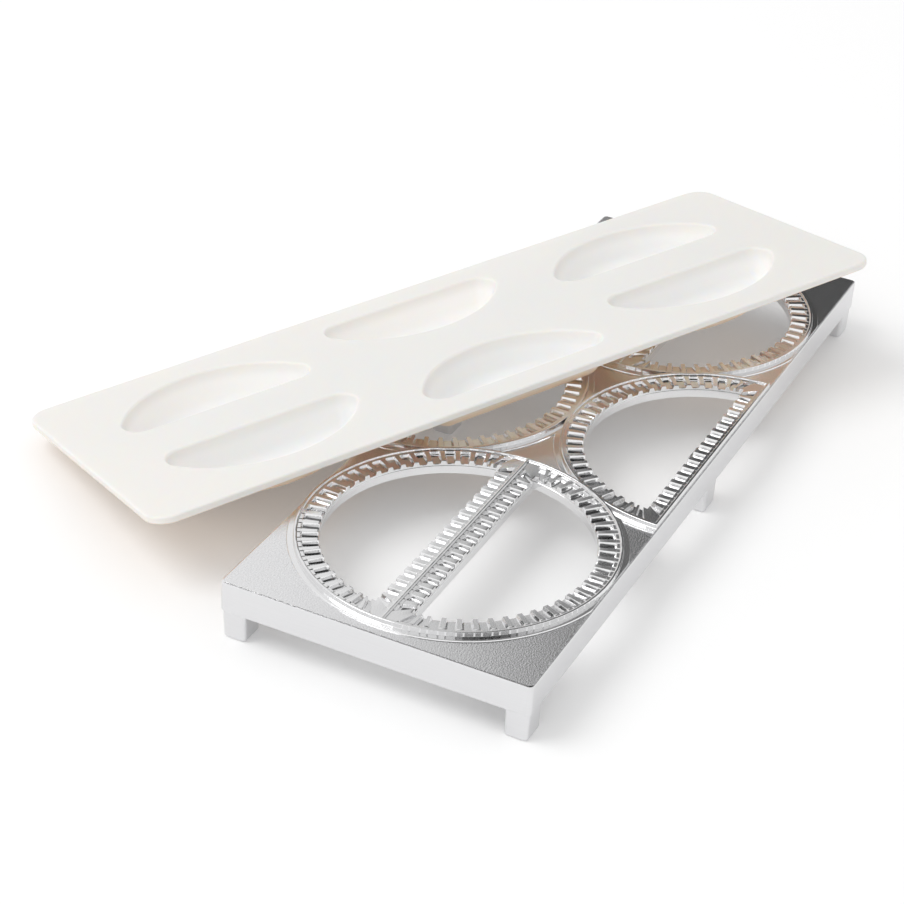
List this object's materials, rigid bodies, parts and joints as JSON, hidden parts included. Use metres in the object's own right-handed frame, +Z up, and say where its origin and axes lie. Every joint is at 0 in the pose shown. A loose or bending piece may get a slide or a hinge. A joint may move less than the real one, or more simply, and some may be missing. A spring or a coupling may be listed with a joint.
{
  "type": "ravioli mold",
  "caption": "Cast cutting frame on short legs with fluted half-moon openings, and a moulded press tray with matching pockets that lies askew on it.",
  "frame": {"origin": "on the table, under the middle of the box round the frame and its tray", "axes": "+X along the cutting frame's length, towards the end that the tray's far end overhangs; +Y across it, towards the side where the tray hangs out; +Z up"},
  "size_m": [0.3522, 0.2636, 0.0559],
  "materials": {
    "cast_metal": "cast top, bright polished crests and flutes, brushed sides",
    "tray_plastic": "satin off-white"
  },
  "bodies": {
    "root": {"cutting_frame": "cast_metal", "press_tray": "tray_plastic"}
  },
  "joints": []
}
